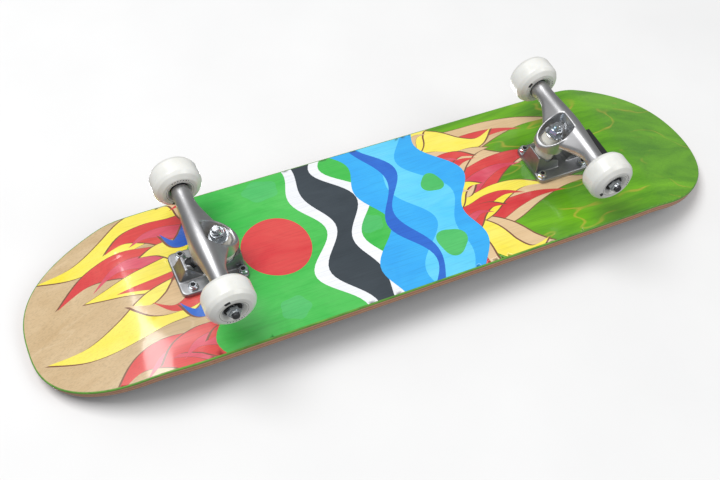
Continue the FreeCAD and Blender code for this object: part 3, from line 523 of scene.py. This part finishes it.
def surface_grid():
    """Inner points of a deck surface, closer together where it bends."""
    across = range(-96, 97, 6)
    flat_end = int(KICK_START)
    flat_step, bend_step, kick_step = 12, 2.6, 9
    bend_rows = 16
    along = list(range(-flat_end, flat_end + 1, flat_step))
    for sign in (1, -1):
        along += [sign * (KICK_START + bend_step * i) for i in range(1, bend_rows)]
        along += [sign * (KICK_START + bend_step * bend_rows + kick_step * i) for i in range(12)]
    return [Vector((MIDDLE + x, y)) for x in along for y in across]


def covered(points, loop):
    """Which of the points (an n by 2 array) lie in a loop, by counting its turns round them."""
    corners = np.array([tuple(point) for point in loop])
    after = np.roll(corners, -1, axis=0)
    turns = np.zeros(len(points), int)
    for (ax, ay), (bx, by) in zip(corners, after):
        left = (bx - ax) * (points[:, 1] - ay) - (points[:, 0] - ax) * (by - ay)
        turns += (ay <= points[:, 1]) & (by > points[:, 1]) & (left > 0)
        turns -= (ay > points[:, 1]) & (by <= points[:, 1]) & (left < 0)
    return turns != 0


def divided_plan(outline, hole_radius, shapes=()):
    """Triangles that fill an outline outside the bolt holes. Each has the number of the last shape it lies
    in."""
    holes = [ring_points(centre, hole_radius) for centre in bolt_holes()]
    grid = surface_grid()
    near = covered(np.array([tuple(point) for point in grid]), inset_outline(outline, 3.0))
    points = [point for point, good in zip(grid, near) if good]
    edges = []
    for loop in [outline] + holes + list(shapes):
        start = len(points)
        points += loop
        edges += [(start + i, start + (i + 1) % len(loop)) for i in range(len(loop))]
    flat, _, triangles, _, _, _ = delaunay_2d_cdt(points, edges, [], 0, 1e-3, False)
    origin = Vector((0, 0))
    middles = np.array([tuple(sum((flat[i] for i in triangle), origin) / 3) for triangle in triangles])
    kept = covered(middles, outline)
    for hole in holes:
        kept &= ~covered(middles, hole)
    tops = np.zeros(len(triangles), int)
    for number, shape in enumerate(shapes, 1):
        tops[covered(middles, shape)] = number
    triangles = np.array(triangles)[kept]
    used, renumbered = np.unique(triangles, return_inverse=True)
    return [flat[i] for i in used], renumbered.reshape(-1, 3).tolist(), tops[kept].tolist()


def pressed_solid(name, levels, hole_levels, materials, bands, shapes=(), shape_slots=(0,)):
    """A closed layer of the deck. levels are (height, inset) from bottom to top, hole_levels (height,
    radius). bands give the material slot of each strip of the edge; shape_slots those of the bottom face's
    shapes."""
    outline = plan_outline()
    vertices = []
    faces = []
    slots = []

    def raised(points, height):
        return [press(p.x - square_cut(p.x, height), p.y, height) for p in points]

    def add_face_set(points, triangles, height, picked):
        start = len(vertices)
        vertices.extend(raised(points, height))
        faces.extend([tuple(start + i for i in triangle) for triangle in triangles])
        slots.extend(picked)

    low_height, low_inset = levels[0]
    flat, triangles, tops = divided_plan(inset_outline(outline, low_inset), hole_levels[0][1], shapes)
    add_face_set(flat, triangles, low_height, [shape_slots[top] for top in tops])
    top_height, top_inset = levels[-1]
    flat, triangles, tops = divided_plan(inset_outline(outline, top_inset), hole_levels[-1][1])
    add_face_set(flat, triangles, top_height, [bands[-1]] * len(triangles))

    def add_strip(rings, band_slots):
        start = len(vertices)
        count = len(rings[0])
        for ring in rings:
            vertices.extend(ring)
        for level in range(len(rings) - 1):
            for i in range(count):
                a, b = start + level * count + i, start + level * count + (i + 1) % count
                faces.append((a, b, b + count, a + count))
                slots.append(band_slots[level])

    add_strip([raised(inset_outline(outline, inset), height) for height, inset in levels], bands)
    for centre in bolt_holes():
        add_strip([raised(ring_points(centre, radius), height) for height, radius in hole_levels],
                  [bands[-1]] * (len(hole_levels) - 1))
    return add_piece(name, vertices, faces, materials, slots, smooth_angle=25)


def edge_inset(height, radius):
    """How far a rounded edge is drawn in at a height, for the deck's lower and upper corners."""
    depth = max(radius - height, height - (DECK_TOP - radius), 0.0)
    return radius - math.sqrt(max(radius ** 2 - depth ** 2, 0.0))


def make_laminate():
    """Seven plies as one closed body with rounded edges. Each ply is a strip of the edge."""
    plies = [0, 1, 2, 3, 1, 3, 1]
    radius = 1.5
    softness = 0.6
    cuts = 3
    levels = []
    bands = []
    for ply in range(7):
        for cut in range(cuts):
            height = (ply + cut / cuts) * PLY
            levels.append((height, edge_inset(height, radius) * softness))
            bands.append(plies[ply])
    levels.append((DECK_TOP, edge_inset(DECK_TOP, radius) * softness))
    bands.append(1)
    hole = [(0.0, BOLT_HOLE), (GRIP_TOP - SINK_DEPTH, BOLT_HOLE), (DECK_TOP, SINK_UNDER_GRIP)]
    laminate = pressed_solid("deck_laminate", levels, hole, [EDGE_GREEN, EDGE_MAPLE, EDGE_SALMON, EDGE_BROWN],
                             bands)
    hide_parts("deck_bottom_veneer", "deck_core_plies", "deck_top_veneer")


def make_grip():
    """The grip tape, trimmed a little inside the deck's edge."""
    levels = [(DECK_TOP, 0.95), (DECK_TOP + 0.4, 0.9), (GRIP_TOP, 1.05)]
    hole = [(DECK_TOP, SINK_UNDER_GRIP), (GRIP_TOP, SINK_AT_TOP)]
    grip = pressed_solid("grip_sheet", levels, hole, [grip_surface()], [0, 0, 0])
    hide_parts("grip_tape")


# ---------------------------------------------------------------- the printed graphic
def lick(spine, widths, steps=7):
    """The outline round a smooth spine with a width at each of its points. It has a round root and a pointed
    tip."""
    line = smooth_points(spine, steps)
    across = smooth_points([(width, 0) for width in widths], steps)
    left = []
    right = []
    last = len(line) - 1
    for i, point in enumerate(line):
        along = (line[min(i + 1, last)] - line[max(i - 1, 0)]).normalized()
        square = Vector((-along.y, along.x)) * max(across[i].x, 0.0) / 2
        left.append(point + square)
        right.append(point - square)
    right = cap(line[0], right[0], steps)[::-1] + right
    loop = left + right[::-1]
    return [point for i, point in enumerate(loop) if (point - loop[i - 1]).length > 0.05]


def cap(centre, start, steps):
    """Points of a half circle from start round centre."""
    arm = start - centre
    return [centre + Matrix.Rotation(-math.pi * i / steps, 2) @ arm for i in range(1, steps)]


def disc(centre, across, tall, wobble=0.03, lobes=5):
    """A hand-cut round patch."""
    loop = []
    for i in range(56):
        angle = 2 * math.pi * i / 56
        swell = 1 + wobble * math.sin(lobes * angle + centre[0])
        loop.append(Vector((centre[0] + across * swell * math.cos(angle),
                            centre[1] + tall * swell * math.sin(angle))))
    return loop


def flame(root, tip, width, sway):
    """A flame lick from root to tip that swings to one side and back."""
    root, tip = Vector(root), Vector(tip)
    square = Vector((-(tip - root).y, (tip - root).x)).normalized()
    spine = [root.lerp(tip, share) + square * sway * math.sin(2 * math.pi * share) for share in
             (0.0, 0.2, 0.4, 0.6, 0.8, 1.0)]
    return lick([tuple(point) for point in spine], [width * w for w in (0.9, 1.0, 0.9, 0.62, 0.3, 0.0)])


def flame_fan(root_x, direction, rows, reach, width, colours, phase):
    """A row of licks across the board, each with a dark seam round it and a smaller lick of another colour
    in it."""
    shapes = []
    for row in range(rows):
        y = -DECK_HALF + (row + 0.5) * 2 * DECK_HALF / rows
        long = reach * (0.86 + 0.14 * math.sin(2.4 * row + phase))
        lean = 20 * math.sin(1.7 * row + phase)
        sway = 15 * math.cos(2.1 * row + phase)
        outer, inner = colours[row % len(colours)]
        root = Vector((root_x, 0.9 * y))
        tip = Vector((root_x + direction * long, 0.98 * y + lean))
        aside = Vector((0, 0.12 * width))
        shapes.append(("seam", flame(root, tip + Vector((direction * 3, 0)), width + 1.6, sway)))
        shapes.append((outer, flame(root, tip, width, sway)))
        if inner != outer:
            inner_tip = root.lerp(tip, 0.8) + aside
            shapes.append(("seam", flame(root + aside, inner_tip, width * 0.52 + 1.2, 0.9 * sway)))
            shapes.append((inner, flame(root + aside, inner_tip, width * 0.52, 0.9 * sway)))
    return shapes


def wave_band(x, width, swing, waves, phase):
    """A band across the whole board with wavy sides."""
    sides = []
    for side in (-1, 1):
        line = []
        for step in range(45):
            y = -118 + 236 * step / 44
            swell = min(0.25 * width, 11) * math.sin(2 * math.pi * y / 97 + 1.3 * side + phase)
            line.append(Vector((x + side * width / 2 + swell + swing * math.sin(waves * y + phase), y)))
        sides.append(line)
    return sides[0] + sides[1][::-1]


def graphic_shapes():
    """The printed shapes from back to front, each a colour and an outline in plan, in millimetres: flames
    over bare veneer at the tail, a green field with a sun and a wave across it, a blue field, and flames
    over stained veneer."""
    shapes = [("tan", wave_band(-300, 280, 8, 0.05, 0.4))]
    shapes += flame_fan(-185, -1, 5, 212, 52, (("yellow", "yellow"), ("red", "rose"), ("yellow", "red")), 0.6)
    shapes += flame_fan(-185, -1, 4, 128, 46, (("red", "rose"), ("yellow", "yellow"), ("cream", "red")), 2.2)
    shapes += flame_fan(-185, -1, 6, 74, 30, (("cream", "red"), ("deep_blue", "deep_blue"), ("red", "rose")),
                        4.0)
    shapes.append(("green", wave_band(-112, 214, 8, 0.05, 0.4)))
    shapes += [("leaf", disc((x, y), size, size * 0.8, 0.08, 5)) for x, y, size in
               ((-128, -80, 20), (-34, 8, 15), (-150, 78, 16))]
    shapes.append(("red", disc((-140, 0), 38, 38, 0.012, 3)))
    shapes.append(("white", wave_band(-66, 62, 9, 0.047, 2.6)))
    shapes.append(("charcoal", wave_band(-66, 34, 9, 0.047, 2.6)))
    shapes += flame_fan(36, 1, 5, 204, 48, (("cream", "red"), ("cream", "cream"), ("red", "rose")), 1.1)
    shapes += flame_fan(36, 1, 4, 142, 40, (("yellow", "yellow"), ("cream", "red"), ("yellow", "red")), 3.0)
    shapes += flame_fan(36, 1, 6, 86, 28, (("yellow", "cream"), ("red", "rose"), ("cream", "red")), 5.2)
    shapes.append(("sky", wave_band(22, 108, 12, 0.026, 1.9)))
    shapes.append(("pale_blue", wave_band(34, 40, 14, 0.034, 0.9)))
    shapes.append(("deep_blue", wave_band(4, 13, 13, 0.05, 4.1)))
    shapes += [("leaf", disc((x, y), size, size, 0.1, 3)) for x, y, size in ((40, 62, 17), (56, -20, 13))]
    shapes.append(("black", [Vector(p) for p in ((261, -27), (273, -27), (273, 18), (261, 18))]))
    return shapes


def make_graphic():
    """A thin printed sheet on the underside, divided where the printed colours meet."""
    shapes = graphic_shapes()
    names = ["lime", "tan"] + list(ink_materials)
    materials = [LIME, TAN] + list(ink_materials.values())
    picked = [0] + [names.index(colour) for colour, _ in shapes]
    levels = [(PRINT_LOW, PRINT_INSET), (PRINT_HIGH, PRINT_INSET)]
    hole = [(PRINT_LOW, PRINT_HOLE), (PRINT_HIGH, PRINT_HOLE)]
    sheet = pressed_solid("deck_graphic", levels, hole, materials, [0, 0], [loop for _, loop in shapes],
                          picked)


make_laminate()
make_grip()
make_graphic()


# ---------------------------------------------------------------- trucks
def paint(node, material):
    """Gives a CAD node one material in every slot."""
    data = nodes[node].data
    data.materials.clear()
    data.materials.append(material)


def soften(node, voxel, rounds):
    """Rounds a casting's edges and inner corners, as sand casting and tumbling do."""
    remesh = nodes[node].modifiers.new("cast_skin", "REMESH")
    remesh.mode = "VOXEL"
    remesh.voxel_size = voxel * MM
    remesh.use_smooth_shade = True
    smooth = nodes[node].modifiers.new("tumbled", "SMOOTH")
    smooth.factor = 0.5
    smooth.iterations = rounds


HANGER_METAL = cast_metal("hanger_aluminium", (206, 206, 207), (184, 184, 186), 0.42, 0.8)
PLATE_METAL = cast_metal("baseplate_aluminium", (176, 177, 179), (146, 147, 150), 0.44, 0.7)
ZINC = plated_steel("zinc_plate", (226, 230, 234), (196, 203, 208), 0.12)
STEEL = plated_steel("ground_steel", (205, 206, 208), (170, 172, 176), 0.22)
SHIELD = black_rubber("shield_black")
THREADS = plated_steel("axle_steel", (112, 113, 116), (84, 85, 88), 0.3)
OXIDE = black_oxide("black_oxide")
RUBBER = black_rubber("cup_rubber")
BUSHING = cast_urethane("bushing_urethane", (238, 236, 226), (222, 218, 204), 0.32, 0.2).material
WHEELS = {"front": wheel_surface("front_wheel_urethane", math.radians(40)),
          "rear": wheel_surface("rear_wheel_urethane", math.radians(140))}


def finish_trucks():
    """Materials for every CAD node of the trucks and bearings, and cast skins for the castings."""
    for end in ENDS:
        paint(f"{end}_hanger", HANGER_METAL)
        soften(f"{end}_hanger", 0.75, 9)
        paint(f"{end}_baseplate", PLATE_METAL)
        soften(f"{end}_baseplate", 0.6, 5)
        for part in ("kingpin", "kingpin_nut", "bushing_washers", "mounting_nuts", "axle_nuts"):
            paint(f"{end}_{part}", ZINC)
        paint(f"{end}_axle", THREADS)
        paint(f"{end}_speed_washers", STEEL)
        paint(f"{end}_mounting_bolts", OXIDE)
        paint(f"{end}_pivot_cup", RUBBER)
        for side in SIDES:
            corner = f"{end}_{side}"
            paint(f"{corner}_bearing_outer_rings", STEEL)
            paint(f"{corner}_bearing_inner_rings", STEEL)
            paint(f"{corner}_bearing_spacer", STEEL)
            paint(f"{corner}_bearing_balls", STEEL)
            paint(f"{corner}_bearing_shields", SHIELD)


def make_bushings():
    """Turned urethane bushings round each kingpin, in place of the CAD bushings."""
    for end, sign in ENDS.items():
        ring = Vector(joints[f"{end}_steer"]["pos_m"]) / MM
        pin = Matrix.Translation(ring) @ Matrix.Rotation(-sign * KINGPIN_TILT, 4, "Y")
        for name, profile, fixed, moving in (
                ("boardside", [(5.0, 2.5, 0.3), (10.8, 2.5, 0.6), (11.5, 4.6, 1.5), (11.5, 15.9, 1.5),
                               (10.8, 18.0, 0.6), (5.0, 18.0, 0.3)], 17.0, 4.0),
                ("roadside", [(5.0, -2.5, 0.3), (5.0, -13.0, 0.3), (9.2, -13.0, 0.5), (9.8, -12.0, 0.6),
                              (10.9, -4.5, 1.0), (10.9, -2.5, 0.5)], -12.0, -4.0)):
            piece = lathe(f"{end}_{name}_bushing_cast", rounded(profile), pin, [BUSHING], None, 64)
            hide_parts(f"{end}_{name}_bushing")
            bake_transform(piece)


def make_wheels():
    """Turned wheels. The corners of the section are (radius, distance along the axle, fillet)."""
    profile = rounded([
        (8.6, 5.0, 0.2), (11.0, 5.0, 0), (11.0, 12.0, 0), (13.4, 15.6, 0.7), (18.6, 15.6, 1.4),
        (23.6, 12.2, 3.0), (26.0, 8.0, 4.0), (26.0, -8.0, 4.0), (23.6, -12.2, 3.0), (18.6, -15.6, 1.4),
        (13.4, -15.6, 0.7), (11.0, -12.0, 0), (11.0, -5.0, 0), (8.6, -5.0, 0.2)], 6)
    for end in ENDS:
        for side, sign in SIDES.items():
            corner = f"{end}_{side}"
            centre = Vector(joints[f"{corner}_wheel_spin"]["pos_m"]) / MM
            turn = Matrix.Rotation(math.radians(-90 * sign), 4, "X")
            piece = lathe(f"{corner}_wheel_cast", profile, Matrix.Translation(centre) @ turn, [WHEELS[end]],
                          f"{corner}_wheel_body", 120)
            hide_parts(f"{corner}_wheel")


finish_trucks()
make_bushings()
make_wheels()


# ---------------------------------------------------------------- camera
def add_camera():
    """Looks up at the underside from beyond the board's left side, rolled over as if the board lay on its
    deck."""
    data = bpy.data.cameras.new("camera")
    data.sensor_width = 36.0
    data.lens = 50.8
    camera = bpy.data.objects.new("camera", data)
    bpy.context.scene.collection.objects.link(camera)
    heading, elevation, roll = math.radians(-59.91), math.radians(52.41), math.radians(-173.16)
    look = Vector((math.cos(heading) * math.cos(elevation), math.sin(heading) * math.cos(elevation),
                   math.sin(elevation)))
    turn = look.to_track_quat("-Z", "Y") @ Quaternion((0, 0, 1), roll)
    camera.matrix_world = Matrix.Translation((-0.3877, 0.6008, -0.7846)) @ turn.to_matrix().to_4x4()
    bpy.context.scene.camera = camera


# ---------------------------------------------------------------- studio
def plane_object(name, centre, size, tilt=0.0):
    """A square floor."""
    mesh = bpy.data.meshes.new(name)
    half = size / 2
    corners = [(-half, -half, 0), (half, -half, 0), (half, half, 0), (-half, half, 0)]
    mesh.from_pydata(corners, [], [(0, 1, 2, 3)])
    thing = bpy.data.objects.new(name, mesh)
    thing.location = centre
    thing.rotation_euler = (0, tilt, 0)
    bpy.context.scene.collection.objects.link(thing)
    return thing


def floor_material(name, shows_back, glow):
    """A pale floor that shows on one of its sides only. A little glow of its own evens out its shading."""
    surface = Surface(name, Roughness=0.7, Emission_Color=(1, 1, 1, 1), Emission_Strength=glow)
    speckle = surface.noise(6, detail=3)
    pale = 0.79 - glow
    surface.set(Base_Color=surface.mix(surface.remap(speckle, 0.3, 0.7), (pale, pale, pale, 1),
                                       (pale + 0.03, pale + 0.03, pale + 0.03, 1)))
    clear = surface.tree.nodes.new("ShaderNodeBsdfTransparent")
    mix = surface.tree.nodes.new("ShaderNodeMixShader")
    geometry = surface.tree.nodes.new("ShaderNodeNewGeometry")
    first, second = (clear, surface.shader) if shows_back else (surface.shader, clear)
    surface.put(mix.inputs[0], geometry.outputs["Backfacing"])
    surface.put(mix.inputs[1], first.outputs[0])
    surface.put(mix.inputs[2], second.outputs[0])
    surface.put(surface.tree.nodes["Material Output"].inputs[0], mix.outputs[0])
    return surface.material


def add_floors():
    """Two floors: one the board stands on, seen from above, and one its ends would lie on, seen from
    below."""
    width = 12
    low = plane_object("floor_under_wheels", (0, 0, cad_bounds[0].z), width)
    low.data.materials.append(floor_material("floor_low", False, 0.45))
    high = plane_object("floor_over_ends", (0, 0, cad_bounds[1].z + 0.0004), width, math.radians(-0.08))
    high.data.materials.append(floor_material("floor_high", True, 0.0))
    for floor in (low, high):
        floor.visible_diffuse = False
        floor.visible_glossy = False
        floor.visible_transmission = False
        floor.visible_shadow = False


def area_light(name, place, target, size, watts):
    """A rectangular softbox that the camera doesn't see."""
    data = bpy.data.lights.new(name, "AREA")
    data.shape = "RECTANGLE"
    data.size, data.size_y = size
    data.energy = watts
    lamp = bpy.data.objects.new(name, data)
    lamp.location = place
    lamp.rotation_euler = (Vector(target) - Vector(place)).to_track_quat("-Z", "Y").to_euler()
    lamp.visible_camera = False
    bpy.context.scene.collection.objects.link(lamp)


def add_lights():
    """An even dome that mirrors dimly, two softboxes under the board and one over it."""
    world = bpy.data.worlds.new("studio")
    world.use_nodes = True
    world.node_tree.nodes["Background"].inputs[0].default_value = (0.99, 0.995, 1, 1)
    dome = world.node_tree.nodes["Background"]
    path = world.node_tree.nodes.new("ShaderNodeLightPath")
    strength = world.node_tree.nodes.new("ShaderNodeMapRange")
    strength.inputs["To Min"].default_value = 0.42
    strength.inputs["To Max"].default_value = 0.24
    world.node_tree.links.new(path.outputs["Is Glossy Ray"], strength.inputs["Value"])
    world.node_tree.links.new(strength.outputs[0], dome.inputs[1])
    bpy.context.scene.world = world
    area_light("under_key", (-1.02, -0.64, -2.71), (-0.1, 0, 0.08), (2.1, 1.6), 72)
    area_light("under_fill", (1.6, 1.3, -2.0), (0.2, 0, 0.08), (1.6, 1.6), 22)
    area_light("over_key", (0.0, -1.3, 2.0), (0, 0, 0.05), (1.2, 1.2), 40)


add_camera()
add_floors()
add_lights()
bpy.context.scene.view_settings.view_transform = "Standard"
